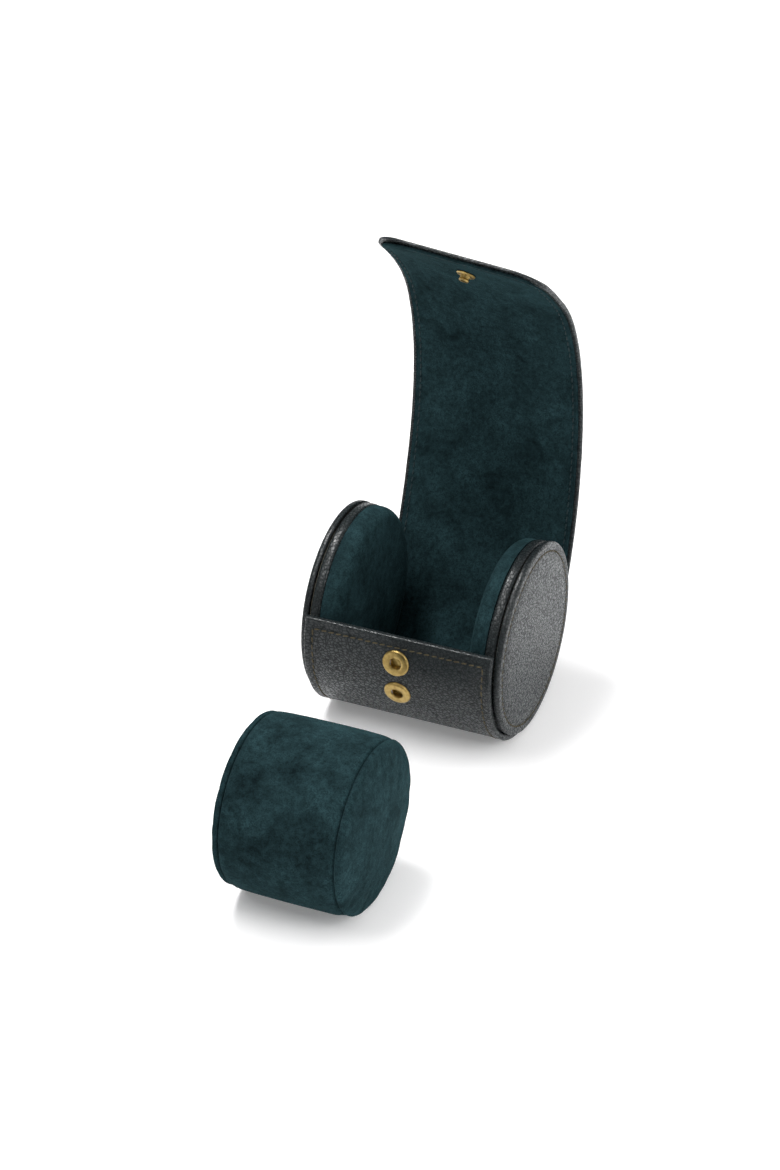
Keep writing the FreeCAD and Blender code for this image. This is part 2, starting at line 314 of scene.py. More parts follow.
def new_material(name, roughness, specular=0.5, bends=True):
    """A material with its nodes, its shader and the coordinates that its pattern follows."""
    material = bpy.data.materials.new(name)
    material.use_nodes = True
    nodes = Nodes(material.node_tree)
    shader = material.node_tree.nodes["Principled BSDF"]
    nodes.fill(shader, Roughness=roughness, Specular_IOR_Level=specular)
    if bends:
        pattern = nodes.add("ShaderNodeAttribute", attribute_name="pattern").outputs["Vector"]
    else:
        pattern = nodes.add("ShaderNodeTexCoord").outputs["Object"]
    return material, nodes, shader, pattern


# %% [markdown]
# ## Camera, floor and light
#
# The photograph looks down at the roll from the front right through a long lens. The camera stands
# at that angle and distance, aimed at the roll's axis, and a small shift puts the object where the
# picture has it. The floor is plain white paper that glows: faintly near the roll, as painted light
# that lightens the roll's shadows on it, and more far out, where the lamps no longer reach it. It
# turns up at its edge, so that the background stays white from every side. A wide tent light from
# above shapes the pieces, and smaller lights draw the bright lines on the lip and the rims.

# %% Camera
FRAME_HEIGHT_PX = 1170
FOCAL_PX = 2800
SENSOR_MM = 36
AZIMUTH, ELEVATION = 22.5, 33.44
CAMERA_DISTANCE = 1084 * MM
SHIFT_RIGHT_PX, SHIFT_DOWN_PX = 46.8, 31.4

back = direction(AZIMUTH, ELEVATION)
bpy.ops.object.camera_add(location=AXIS + back * CAMERA_DISTANCE, rotation=looking_back(back))
camera = bpy.context.object
camera.data.sensor_width = SENSOR_MM
camera.data.lens = FOCAL_PX * SENSOR_MM / FRAME_HEIGHT_PX
camera.data.shift_x = -SHIFT_RIGHT_PX / FRAME_HEIGHT_PX
camera.data.shift_y = SHIFT_DOWN_PX / FRAME_HEIGHT_PX
bpy.context.scene.camera = camera
print("lens", round(camera.data.lens, 1), "mm")

# %% Floor
FLOOR_SIZE, FLOOR_RIM = 14, 0.6   # m; the paper turns up at its far edge
GLOW_FROM, GLOW_TO = 0.35, 2.5    # m from the roll, where the glow starts and where it is full
# Glow of the paper near the roll and far out; near the roll it is painted light that lifts the roll's
# shadows.
GLOW_NEAR, GLOW_FAR = 0.2, 0.9
bpy.ops.mesh.primitive_plane_add(size=FLOOR_SIZE, location=(0, 0, 0))
floor = new_piece("floor")
edit(floor)
select_all()
bpy.ops.mesh.inset(thickness=FLOOR_RIM)
pick_verts(floor, lambda co: max(abs(co.x), abs(co.y)) > (FLOOR_SIZE - FLOOR_RIM) / 2)
bpy.ops.transform.translate(value=(0, 0, FLOOR_RIM))
finish_edit()
paper, nodes, shader, place = new_material("pale_floor", 0.9, 0.1, bends=False)
far = nodes.add("ShaderNodeVectorMath", operation="LENGTH")
nodes.feed(far.inputs[0], place)
glow = nodes.remap(far.outputs["Value"], GLOW_FROM, GLOW_TO, GLOW_NEAR, GLOW_FAR)
nodes.fill(shader, Base_Color=(0.93, 0.925, 0.93, 1), Emission_Color=glow, Emission_Strength=1)
wear(floor, paper)
print("floor", FLOOR_SIZE, "m wide")

# %% Lights
LOOK_AT = Vector((0, -0.04, 0.06))
WORLD_LIGHT = 0.12


def soft_light(name, azimuth, elevation, distance, size, power, depth=None):
    """An area light that faces the object, square unless a depth is given."""
    away = direction(azimuth, elevation)
    bpy.ops.object.light_add(type="AREA", location=LOOK_AT + away * distance, rotation=looking_back(away))
    light = bpy.context.object
    light.name = name
    light.data.shape = "RECTANGLE"
    light.data.size = size
    light.data.size_y = depth or size
    light.data.energy = power


soft_light("top_tent", azimuth=160, elevation=80, distance=1.9, size=2.4, power=16.5)
soft_light("top_key", azimuth=235, elevation=67, distance=1.2, size=0.3, power=5)
soft_light("rim_strip", azimuth=285, elevation=71.5, distance=1.1, size=1.0, depth=0.2, power=8)
soft_light("left_window", azimuth=-32, elevation=49, distance=1.0, size=0.25, power=1.8)
soft_light("right_card", azimuth=128, elevation=18, distance=1.0, size=0.6, power=3.6)
soft_light("right_window", azimuth=76, elevation=30, distance=1.1, size=0.45, power=5)
soft_light("front_fill", azimuth=15, elevation=40, distance=1.3, size=0.8, power=0.3)

world = bpy.data.worlds.new("tent")
bpy.context.scene.world = world
world.use_nodes = True
sky = Nodes(world.node_tree)
sky.fill(sky.tree.nodes["Background"], Color=(1, 1, 1, 1), Strength=WORLD_LIGHT)
bpy.context.scene.view_settings.view_transform = "Standard"

# %% [markdown]
# ## Finishes
#
# Two effects are shared, so each is a node group with named inputs. **Pebble** is the grain of
# embossed leather: rounded cells with creases between them, in two sizes. **Nap** is suede: a
# fibrous fuzz, with broad patches where the pile has been brushed one way or the other. Both read
# the pattern attribute, the place of each point before the piece was bent, so that the grain stays
# on the leather when the flap closes.

# %% Pebble: leather grain
WARP_SCALE, WARP_REACH = 380, 0.0009      # waves a metre, and how far they push a cell
STRETCH = (1.2, 0.85, 1.0)                # cells are longer across the strip
FINE_CELLS, FINE_SHARE = 2.3, 0.25        # small cells: how many more, and their part of the height
DOME_EDGE, FINE_EDGE, CREASE_EDGE = 0.32, 0.3, 0.11    # how far each rises from a cell's edge
DOME_POWER = 0.6
CLOUD_SCALE = 45
VECTOR = "ShaderNodeVectorMath"


def new_group(name, setting, value, results):
    """A node group with a Vector and one number as inputs, and numbers as outputs."""
    tree = bpy.data.node_groups.new(name, "ShaderNodeTree")
    tree.interface.new_socket(name="Vector", in_out="INPUT", socket_type="NodeSocketVector")
    number = tree.interface.new_socket(name=setting, in_out="INPUT", socket_type="NodeSocketFloat")
    number.default_value = value
    for label in results:
        tree.interface.new_socket(name=label, in_out="OUTPUT", socket_type="NodeSocketFloat")
    given = tree.nodes.new("NodeGroupInput").outputs
    return Nodes(tree), given["Vector"], given[setting], tree.nodes.new("NodeGroupOutput")


pebble, vector, per_metre, result = new_group("Pebble", "Cells per metre", 1000.0,
                                              ("Height", "Crease", "Cloud"))
warp_noise = pebble.fill(pebble.add("ShaderNodeTexNoise"), Vector=vector, Scale=WARP_SCALE)
warp = pebble.math("MULTIPLY", warp_noise.outputs["Color"], [WARP_REACH] * 3, VECTOR)
stretched = pebble.math("MULTIPLY", pebble.math("ADD", vector, warp, VECTOR), STRETCH, VECTOR)
cells = pebble.cells(stretched, per_metre)
fine = pebble.cells(stretched, pebble.math("MULTIPLY", per_metre, FINE_CELLS))
dome = pebble.math("POWER", pebble.remap(cells, 0.0, DOME_EDGE), DOME_POWER)
small = pebble.math("MULTIPLY", pebble.remap(fine, 0.0, FINE_EDGE), FINE_SHARE)
pebble.fill(result, Height=pebble.math("ADD", dome, small),
            Crease=pebble.remap(cells, 0.0, CREASE_EDGE, 1.0, 0.0),
            Cloud=pebble.noise(vector, CLOUD_SCALE, 2))

# %% Nap: suede
FUZZ_SCALE, STRAND_SCALE, MOTTLE_SCALE = 2200, 700, 330    # a metre
BROAD_SHARE, MOTTLE_SHARE = 0.6, 0.4      # of the brushed patches
BRUSH_LOW, BRUSH_HIGH = 0.31, 0.69        # noise that counts as brushed and as standing pile
FUZZ_RISE, STRAND_RISE = 0.6, 0.5         # their parts of the height

nap, vector, patch_size, result = new_group("Nap", "Patch size", 0.02, ("Height", "Brush", "Fuzz"))
broad = nap.noise(vector, nap.math("DIVIDE", 1.0, patch_size), 5, 0.62, 0.6)
fuzz = nap.noise(vector, FUZZ_SCALE, 2, 0.7)
strand = nap.noise(vector, STRAND_SCALE, 3, 0.6, 1.0)
mottle = nap.noise(vector, MOTTLE_SCALE, 4, 0.7)
brush = nap.blend(broad, BROAD_SHARE, mottle, MOTTLE_SHARE)
nap.fill(result, Brush=nap.remap(brush, BRUSH_LOW, BRUSH_HIGH),
         Height=nap.blend(fuzz, FUZZ_RISE, strand, STRAND_RISE), Fuzz=nap.blend(fuzz, 0.5, strand, 0.5))
print("node groups", [g.name for g in bpy.data.node_groups])

# %% Materials


def place_group(nodes, group, pattern, **values):
    node = nodes.add("ShaderNodeGroup", node_tree=group.tree)
    return nodes.fill(node, Vector=pattern, **values)


def bump(nodes, shader, height, distance, strength=1.0):
    node = nodes.fill(nodes.add("ShaderNodeBump"), Distance=distance, Strength=strength, Height=height)
    nodes.fill(shader, Normal=node.outputs["Normal"])


# Painted shade in the creases of the grain: how dark it is and how much of it shows.
CREASE_SHADE_DARKNESS, CREASE_SHADE_SHARE = 0.45, 0.4     # a crease's shade, and how much of it shows
CREASE_ROUGH, TOP_ROUGH = 0.62, 0.3       # the tops of the cells are polished
CREASE_COAT, TOP_COAT = 0.02, 0.64
# Painted shade in the gaps of the pile, where the fuzz is low: how dark it is and how much of it shows.
PILE_GAP_SHADE, PILE_GAP_SHADE_SHARE = 0.5, 0.65       # gaps in the pile
PILE_RELIEF, FIBRE_RELIEF = 0.22 * MM, 0.1 * MM


def leather(name, light, dark, cells, relief):
    material, nodes, shader, pattern = new_material(name, 0.45, 0.15)
    grain = place_group(nodes, pebble, pattern, Cells_per_metre=cells)
    height = grain.outputs["Height"]
    colour = nodes.mix(nodes.remap(grain.outputs["Cloud"], 0.3, 0.7), dark, light)
    # Painted shade: the creases between the cells are darkened in the base colour.
    crease_shade_colour = [c * CREASE_SHADE_DARKNESS for c in dark[:3]] + [1]
    crease_shade = nodes.math("MULTIPLY", grain.outputs["Crease"], CREASE_SHADE_SHARE)
    nodes.fill(shader, Base_Color=nodes.mix(crease_shade, colour, crease_shade_colour),
               Roughness=nodes.remap(height, 0.2, 1.1, CREASE_ROUGH, TOP_ROUGH),
               Coat_Weight=nodes.remap(height, 0.3, 1.05, CREASE_COAT, TOP_COAT),
               Coat_Roughness=0.28, Coat_Tint=(0.92, 0.98, 1.0, 1))
    bump(nodes, shader, height, relief)
    return material


def suede(name, lit, brushed, patch):
    material, nodes, shader, pattern = new_material(name, 0.95, 0.012)
    pile = place_group(nodes, nap, pattern, Patch_size=patch)
    colour = nodes.mix(pile.outputs["Brush"], brushed, lit)
    # Painted shade: the base colour is darkened in the gaps of the pile.
    gap_shade_colour = [c * PILE_GAP_SHADE for c in brushed[:3]] + [1]
    gap_shade = nodes.remap(pile.outputs["Fuzz"], 0.56, 0.36, 0.0, PILE_GAP_SHADE_SHARE)
    nodes.fill(shader, Base_Color=nodes.mix(gap_shade, colour, gap_shade_colour), Sheen_Weight=0.05,
               Sheen_Roughness=0.4, Sheen_Tint=(0.35, 0.78, 0.85, 1))
    bump(nodes, shader, pile.outputs["Height"], PILE_RELIEF, 0.8)
    return material


def fibrous(name, colour, shade, grain, detail, roughness, specular, bends):
    """Two shades mixed by a noise that also roughens the surface."""
    material, nodes, shader, pattern = new_material(name, roughness, specular, bends)
    fibre = nodes.noise(pattern, grain, detail)
    nodes.fill(shader, Base_Color=nodes.mix(nodes.remap(fibre, 0.35, 0.65), shade, colour))
    bump(nodes, shader, fibre, FIBRE_RELIEF)
    return material


def thread(name, colour, shade):
    return fibrous(name, colour, shade, 1800, 2, 0.7, 0.3, True)


def filling(name, colour, shade, grain):
    return fibrous(name, colour, shade, grain, 4, 0.9, 0.2, False)


def metal(name, colour, worn, roughness):
    material, nodes, shader, pattern = new_material(name, roughness, bends=False)
    smear = nodes.noise(pattern, 700, 4)
    nodes.fill(shader, Metallic=1, Base_Color=nodes.mix(nodes.remap(smear, 0.4, 0.7), colour, worn),
               Roughness=nodes.remap(smear, 0.3, 0.7, roughness * 0.8, roughness * 1.5))
    return material


GREEN_LEATHER = leather("green_pebbled_leather", (0.0115, 0.0160, 0.0170, 1),
                        (0.0070, 0.0098, 0.0106, 1), 760, 0.28 * MM)
GREEN_SUEDE = suede("green_suede", (0.0230, 0.0528, 0.0600, 1), (0.0042, 0.0094, 0.0108, 1), 0.016)
TAN_THREAD = thread("khaki_thread", (0.085, 0.070, 0.038, 1), (0.045, 0.036, 0.020, 1))
GREEN_THREAD = thread("green_thread", (0.016, 0.038, 0.042, 1), (0.006, 0.014, 0.016, 1))
GOLD = metal("brushed_gold", (0.39, 0.28, 0.10, 1), (0.29, 0.20, 0.068, 1), 0.36)
STEEL = metal("spring_steel", (0.30, 0.28, 0.25, 1), (0.2, 0.18, 0.16, 1), 0.35)
BOARD = filling("grey_board", (0.24, 0.21, 0.17, 1), (0.16, 0.14, 0.11, 1), 900)
FOAM = filling("pale_foam", (0.62, 0.58, 0.48, 1), (0.48, 0.44, 0.36, 1), 1500)

# %% [markdown]
# ## The long strip of leather
#
# On the real roll one strip of leather makes the front, the floor, the back and the flap. It is
# cut and sewn flat and then rolled, so it is modelled that way: a flat plate with a turned edge, a
# recess for the lining and a sewn channel, which a Curve modifier then bends along the line that
# the lining follows. X runs along the strip from the front lip, Y across it, and Z out of the
# leather, with the lining face at zero.

# %% The line that the lining follows
TIP_LENGTH = 25.5 * MM        # from the last hinge to the tip of the flap
TIP_TURN = math.radians(9)    # flat tip from the chord of the curled length before it
LIP_ROLL = SHEET / 2
lip_mid_r = LINING_R + LIP_ROLL
LIP_ANGLE = math.asin((wrap_high.z - LIP_ROLL - AXIS.z) / lip_mid_r) + LIP_ROLL / lip_mid_r
BASE_ANGLE = math.radians(-39)     # where the flap leaves the roll at the back
ARC_POINTS = 16
TWIST = math.radians(1.0)     # turn of the open flap at each hinge
TWIST_FROM = 4                # lengths of the flap before the first that twists

arc_from, arc_to = math.pi - LIP_ANGLE, 2 * math.pi + BASE_ANGLE
route = []
for i in range(ARC_POINTS + 1):
    a = arc_from + (arc_to - arc_from) * i / ARC_POINTS
    route.append(AXIS + Vector((0, math.cos(a), math.sin(a))) * LINING_R)
route += HINGES
last_chord = HINGES[-1] - HINGES[-2]
curl_axis = (HINGES[-2] - HINGES[-3]).cross(last_chord)
route.append(HINGES[-1] + Quaternion(curl_axis, TIP_TURN) @ last_chord.normalized() * TIP_LENGTH)

bpy.ops.curve.primitive_bezier_curve_add()
guide = bpy.context.object
guide.name = "lining_line"
spline = guide.data.splines[0]
spline.bezier_points.add(len(route) - len(spline.bezier_points))
for i, (knot, place) in enumerate(zip(spline.bezier_points, route)):
    knot.co = place
    knot.handle_left_type = knot.handle_right_type = "AUTO"
    twists = min(max(i - ARC_POINTS - TWIST_FROM + 0.5, 0), len(HINGES) + 1 - TWIST_FROM)
    knot.tilt = -TWIST * twists
guide.data.resolution_u = 32
guide.data.twist_mode = "MINIMUM"
bpy.context.view_layer.update()

line = bpy.data.meshes.new_from_object(guide)
line_points = [v.co.copy() for v in line.vertices]
line_lengths = [0.0]
for a, b in zip(line_points, line_points[1:]):
    line_lengths.append(line_lengths[-1] + (b - a).length)
STRIP = line_lengths[-1]


def place_on_line(point):
    """How far along the line a point lies."""
    nearest = min(range(len(line_points)), key=lambda i: (line_points[i] - point).length)
    return line_lengths[nearest]


FLAP_START = place_on_line(route[ARC_POINTS])
HINGE_AT = [place_on_line(h) for h in HINGES]
print("strip", round(STRIP / MM, 1), "mm, flap starts at", round(FLAP_START / MM, 1))

# %% [markdown]
# ## The flat pattern
#
# The outline is a plane with its far end narrowed and its corners rounded by a vertex bevel. Turned
# into a plate and rounded along its rim, it has the thick soft edge that leather gets when it is
# folded over. Insets then sink the sewn channel on the outside and the bed of the lining inside.

# %% Outline of the strip
FLAP_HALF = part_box("flap_leather_01")[1].x
FLAP_TAPER = 2.0 * MM         # narrower at the tip, each side
TIP_HALF = FLAP_HALF - FLAP_TAPER
TIP_CORNER = 12.0 * MM
EDGE_DROP = 0.25 * MM         # turned edge below the lining
EDGE_ROUND = 0.8 * MM
TURNED = 1.3 * MM             # width of the turned edge
BED_DEPTH = 1.0 * MM          # lining's thickness
SEAM_IN = 3.5 * MM            # stitches from the edge
LIP_SEAM = 4.0 * MM           # stitches from the front lip
CHANNEL = 1.1 * MM            # width of the sewn channel
CHANNEL_DEPTH = 0.22 * MM
LIP_BEAD = 2.0 * MM           # width of the rolled front lip
LIP_SWELL = 1.45              # its thickness against the sheet's
LIP_EAR = 0.5 * MM            # how far its ends stand up
LEVEL = 0.999                 # Z of the normal of a level face


def round_rim(piece, levels, radius, segments):
    """Round the edges between a level face and an upright one, at given heights."""
    mesh = start_picking(piece, "EDGE")
    for edge in mesh.edges:
        tilts = sorted(abs(face.normal.z) for face in edge.link_faces)
        heights = [vert.co.z for vert in edge.verts]
        level = any(all(near(h, wanted) for h in heights) for wanted in levels)
        edge.select_set(level and len(tilts) == 2 and tilts[0] < 0.1 and tilts[1] > 0.9)
    bmesh.update_edit_mesh(piece.data)
    bpy.ops.mesh.bevel(offset=radius, segments=segments, affect="EDGES")


def thicken(height):
    """Turn the flat outline that is in edit mode into a plate."""
    select_all()
    bpy.ops.mesh.extrude_region_move(TRANSFORM_OT_translate={"value": (0, 0, height)})
    select_all()
    bpy.ops.mesh.normals_make_consistent(inside=False)


def flat_plate(name, margin, x_from, x_to, z_from, z_to):
    """A plate with the strip's outline, set in by a margin, from one height to another."""
    bpy.ops.mesh.primitive_plane_add(size=1, location=((x_from + x_to) / 2, 0, z_from))
    plate = new_piece(name)
    plate.scale = (x_to - x_from, 2 * (WRAP_HALF - margin), 1)
    apply_place(plate)
    cut_across(plate, [FLAP_START - TURNED, FLAP_START], 0)
    edit(plate, "VERT")
    for place, half in ((FLAP_START, FLAP_HALF), (x_to, TIP_HALF)):
        pick_verts(plate, lambda co: near(co.x, place))
        share = (half - margin) / (WRAP_HALF - margin)
        bpy.ops.transform.resize(value=(1, share, 1), center_override=(place, 0, z_from))
    pick_verts(plate, lambda co: near(co.x, x_to))
    bpy.ops.mesh.bevel(offset=TIP_CORNER - margin, segments=12, affect="VERTICES")
    thicken(z_to - z_from)
    return plate


def sink_channel(way_in, depth):
    """Inset the selected face as far as a seam and sink a sewn channel there."""
    bpy.ops.mesh.inset(thickness=way_in)
    bpy.ops.mesh.inset(thickness=CHANNEL / 2, depth=-depth)
    bpy.ops.mesh.inset(thickness=CHANNEL / 2, depth=depth)


# %% Leather plate
BEND_STEP = 1.8 * MM
leather_flat = flat_plate("leather_flat", 0, 0, STRIP, EDGE_DROP, SHEET)
round_rim(leather_flat, (EDGE_DROP, SHEET), EDGE_ROUND, 6)
pick_faces(leather_flat, lambda co, way: way.z > LEVEL)
sink_channel(SEAM_IN - EDGE_ROUND - CHANNEL / 2, CHANNEL_DEPTH)
pick_faces(leather_flat, lambda co, way: way.z < -LEVEL)
bpy.ops.mesh.inset(thickness=TURNED - EDGE_ROUND)
bpy.ops.mesh.extrude_region_move(TRANSFORM_OT_translate={"value": (0, 0, BED_DEPTH - EDGE_DROP)})
pick_verts(leather_flat, lambda co: co.x < LIP_BEAD)
bpy.ops.transform.resize(value=(1, 1, LIP_SWELL), center_override=(0, 0, (EDGE_DROP + SHEET) / 2))
pick_verts(leather_flat, lambda co: co.x < LIP_BEAD and abs(co.y) > WRAP_HALF - LIP_BEAD)
bpy.ops.transform.translate(value=(-LIP_EAR, 0, 0))
finish_edit()
cut_across(leather_flat, steps(0, STRIP, BEND_STEP), 0)
print("leather plate", len(leather_flat.data.polygons), "faces")

# %% [markdown]
# At the tip the leather is not turned over: its cut edge stands free of the lining, with a dark gap
# between the two. The turned border therefore thins out over the last few millimetres.

# %% Free the edge at the tip
FREE_EDGE = 9 * MM            # length over which the turned edge thins out
FREE_GAP = 0.35 * MM          # between the lining and the free leather


def ease(share):
    """Smooth step from 0 to 1."""
    share = min(max(share, 0), 1)
    return share * share * (3 - 2 * share)


for vert in leather_flat.data.vertices:
    free = ease((vert.co.x - STRIP + FREE_EDGE) / (FREE_EDGE - TURNED))
    vert.co.z = max(vert.co.z, (BED_DEPTH + FREE_GAP) * free)

# %% [markdown]
# The holes for the two sockets are punched while the strip is still flat, as a leather worker does.

# %% Punch the socket holes
SNAP_ANGLES = (("upper", 4.9), ("lower", -15.5))    # degrees above the roll's axis
SOCKET_HOLE = 3.2 * MM        # under the socket's ring
for name, angle in SNAP_ANGLES:
    along = LINING_R * (LIP_ANGLE - math.radians(angle))
    bpy.ops.mesh.primitive_cylinder_add(vertices=48, radius=SOCKET_HOLE, depth=4 * SHEET,
                                        location=(along, 0, SHEET / 2))
    punch = new_piece("punch")
    hole = leather_flat.modifiers.new("Hole", "BOOLEAN")
    hole.object = punch
    apply_modifiers(leather_flat)
    bpy.data.objects.remove(punch)
print("holes punched for", [name for name, _ in SNAP_ANGLES])

# %% Suede lining
LINING_GAP = 0.15 * MM        # groove between the turned edge and the lining
LINING_ROUND = 0.55 * MM
TIP_GROOVE = 0.9 * MM         # wider groove along the tip
SOFT_STEP = 2.6 * MM
lining_margin = TURNED + LINING_GAP
lining_flat = flat_plate("lining_flat", lining_margin, lining_margin,
                         STRIP - lining_margin - TIP_GROOVE, BED_DEPTH, 0)
round_rim(lining_flat, (0,), LINING_ROUND, 5)
pick_faces(lining_flat, lambda co, way: way.z < -LEVEL)
sink_channel(SEAM_IN - lining_margin - LINING_ROUND - CHANNEL / 4, CHANNEL_DEPTH)
finish_edit()
cut_across(lining_flat, steps(0, STRIP, BEND_STEP), 0)
cut_across(lining_flat, steps(-WRAP_HALF, WRAP_HALF, SOFT_STEP), 1)
print("lining plate", len(lining_flat.data.polygons), "faces")

# %% [markdown]
# The glued suede is never quite flat. A Displace modifier with a cloud texture lifts and sinks its
# field by a few tenths of a millimetre, and a vertex group keeps the sewn border flat.

# %% Soften the lining
FIELD = 30 * MM               # half width that the waves reach
FIELD_EDGE = 0.25             # part of it over which they die out
FIELD_END = 8 * MM            # flat stretch at the tip
WAVE_SIZE, WAVE_HEIGHT = 0.014, 0.55 * MM


def ripple(piece, name, size, height):
    """Lift and sink a piece by a cloud texture."""
    clouds = bpy.data.textures.new(name, "CLOUDS")
    clouds.noise_scale = size
    waves = piece.modifiers.new(name, "DISPLACE")
    waves.texture = clouds
    waves.texture_coords = "LOCAL"
    waves.strength = height
    return waves


field = lining_flat.vertex_groups.new(name="field")
for vert in lining_flat.data.vertices:
    room = min(FIELD - abs(vert.co.y), STRIP - FIELD_END - vert.co.x) / FIELD
    if vert.co.z < EDGE_DROP and room > 0:
        field.add([vert.index], min(room, FIELD_EDGE) / FIELD_EDGE, "REPLACE")
waves = ripple(lining_flat, "soft_waves", WAVE_SIZE, WAVE_HEIGHT)
waves.direction = "Z"
waves.vertex_group = "field"
apply_modifiers(lining_flat)

# %% [markdown]
# The left corner of the tip has come open: the suede droops away from the leather there.

# %% Open the left corner of the tip
MOUTH_LENGTH, MOUTH_WIDTH, MOUTH_OPEN = 14 * MM, 22 * MM, 1.0 * MM
for vert in lining_flat.data.vertices:
    near_tip = ease((vert.co.x - STRIP + MOUTH_LENGTH) / MOUTH_LENGTH)
    near_side = ease((-TIP_HALF + MOUTH_WIDTH - vert.co.y) / MOUTH_WIDTH)
    vert.co.z -= MOUTH_OPEN * near_tip * near_side

# %% [markdown]
# ## Stitches
#
# One seam runs round the whole strip and goes through leather and lining, so it shows on both
# sides: tan thread outside, green inside. One stitch is modelled from a small sphere, pulled long
# and slanted a little as saddle stitches are, and copied along the seam at its pitch.

# %% One stitch
PITCH = 3.0 * MM
STITCH_LENGTH = 2.35 * MM
STITCH_WIDTH = 0.62 * MM
SLANT = math.radians(7)
STITCH_MIDDLE, STITCH_PULL = 0.3, 1.25    # part of the sphere that is pulled long, and how much
CORNER_STEPS = 8


def make_stitch(name):
    bpy.ops.mesh.primitive_uv_sphere_add(segments=8, ring_count=6, radius=0.5, rotation=(0, math.pi / 2, 0))
    stitch = new_piece(name)
    apply_place(stitch)
    edit(stitch)
    pick_verts(stitch, lambda co: abs(co.x) < STITCH_MIDDLE)
    bpy.ops.transform.resize(value=(STITCH_PULL, 1.0, 1.0), center_override=(0, 0, 0))
    finish_edit()
    stitch.scale = (STITCH_LENGTH, STITCH_WIDTH, STITCH_WIDTH)
    apply_place(stitch)
    return stitch


def walk(corners, pitch):
    """Places and headings at an even pitch along a line through corners."""
    lengths = [(b - a).length for a, b in zip(corners, corners[1:])]
    count = max(1, round(sum(lengths) / pitch))
    pitch = sum(lengths) / count
    found = []
    for i in range(count):
        wanted = (i + 0.5) * pitch
        for a, b, length in zip(corners, corners[1:], lengths):
            if wanted <= length:
                found.append((a.lerp(b, wanted / length), math.atan2(b.y - a.y, b.x - a.x)))
                break
            wanted -= length
    return found


def seam_line():
    """Corners of the seam round the strip, from the lip's left end and back to it."""
    corner = TIP_CORNER - SEAM_IN
    side = [Vector((LIP_SEAM, WRAP_HALF - SEAM_IN)), Vector((FLAP_START - TURNED, WRAP_HALF - SEAM_IN)),
            Vector((FLAP_START, FLAP_HALF - SEAM_IN))]
    middle = Vector((STRIP - TIP_CORNER, TIP_HALF - TIP_CORNER))
    for i in range(CORNER_STEPS + 1):
        a = math.radians(90 - 90 * i / CORNER_STEPS)
        side.append(middle + Vector((math.cos(a), math.sin(a))) * corner)
    other = [Vector((p.x, -p.y)) for p in reversed(side)]
    return side + other + side[:1]


seam = walk(seam_line(), PITCH)
print("seam", len(seam), "stitches a side")


def sew(name, places, stitch, height):
    """Copies of one stitch at places on the flat strip, joined."""
    twins = []
    for place, heading in places:
        twin = copy_of(stitch, name)
        turn = Matrix.Rotation(heading + SLANT, 4, "Z")
        twin.matrix_world = Matrix.Translation((place.x, place.y, height)) @ turn
        twins.append(twin)
    clear_selection()
    for twin in twins:
        twin.select_set(True)
    bpy.context.view_layer.objects.active = twins[0]
    bpy.ops.object.join()
    sewn = new_piece(name)
    apply_place(sewn)
    return sewn


# %% [markdown]
# ## Cut and bend the strip
#
# The imported flap is a chain of stiff lengths, the first of them fixed to the case. The flap's skin
# has to bend between them, so it is cut at the middle of each length, where nothing bends. The first
# piece rides on the case, and the others are left where they are laid. A piece is cut while it is
# flat, capped where it is cut, and then bent.

# %% Cut and bend each piece, and hang the first on the case
CASE_REACH = 7.0 * MM         # where the first bending piece starts, before the first hinge
BEYOND = 10 * MM
OUTER_STITCH = SHEET - CHANNEL_DEPTH + STITCH_WIDTH * 0.22    # heights of the two rows of thread
INNER_STITCH = CHANNEL_DEPTH - STITCH_WIDTH * 0.15

cuts = [-BEYOND, HINGE_AT[0] - CASE_REACH]
cuts += [(a + b) / 2 for a, b in zip(HINGE_AT, HINGE_AT[1:])]
cuts += [STRIP + BEYOND]


def cut_piece(whole, name, x_from, x_to):
    piece = copy_of(whole, name)
    edit(piece)
    for place, side in ((x_from, "clear_inner"), (x_to, "clear_outer")):
        select_all()
        bpy.ops.mesh.bisect(plane_co=(place, 0, 0), plane_no=(1, 0, 0), use_fill=True, **{side: True})
    finish_edit()
    return piece


def bend(piece):
    """Lay a flat piece along the line that the lining follows."""
    remember_pattern(piece)
    modifier = piece.modifiers.new("Bend", "CURVE")
    modifier.object = guide
    modifier.deform_axis = "POS_X"
    apply_modifiers(piece)


def hang(piece, index):
    """Ride the case, or, for a piece of the flap, stay where it was laid."""
    if index == 0:
        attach(piece, CASE)
        return
    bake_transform(piece)


tan_stitch, green_stitch = make_stitch("tan_stitch"), make_stitch("green_stitch")
for index, (x_from, x_to) in enumerate(zip(cuts, cuts[1:])):
    tail = "wrap" if index == 0 else FLAP_BODIES[index - 1]
    here = [(place, heading) for place, heading in seam if x_from <= place.x < x_to]
    skin = cut_piece(leather_flat, "leather_" + tail, x_from, x_to)
    inside = cut_piece(lining_flat, "lining_" + tail, x_from, x_to)
    outer = sew("stitches_" + tail, here, tan_stitch, OUTER_STITCH)
    inner = sew("inner_stitches_" + tail, here, green_stitch, INNER_STITCH)
    for piece, material, slot in ((skin, GREEN_LEATHER, "green_leather"),
                                  (inside, GREEN_SUEDE, "green_suede"),
                                  (outer, TAN_THREAD, "tan_thread"),
                                  (inner, GREEN_THREAD, "green_suede")):
        bend(piece)
        rest_on_floor(piece)
        smooth(piece)
        wear(piece, material)
        hang(piece, index)
    if index == 0:
        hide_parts("wrap_leather", "wrap_board")
        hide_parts("wrap_lining")
    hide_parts("flap_leather_%02d" % (index + 1))
    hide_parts("flap_lining_%02d" % (index + 1))
for flat in (leather_flat, lining_flat, tan_stitch, green_stitch):
    bpy.data.objects.remove(flat)
print("strip in", len(cuts) - 1, "pieces")

# %% [markdown]
# ## The two ends
#
# Each end is built up like a cake: a stiff disc wrapped in leather with a stitched circle, a
# rounded leather band on which the closed flap lies, and a suede pad that touches the watch. All
# three are round, so they are made lying flat round Z and then turned to face along the roll.

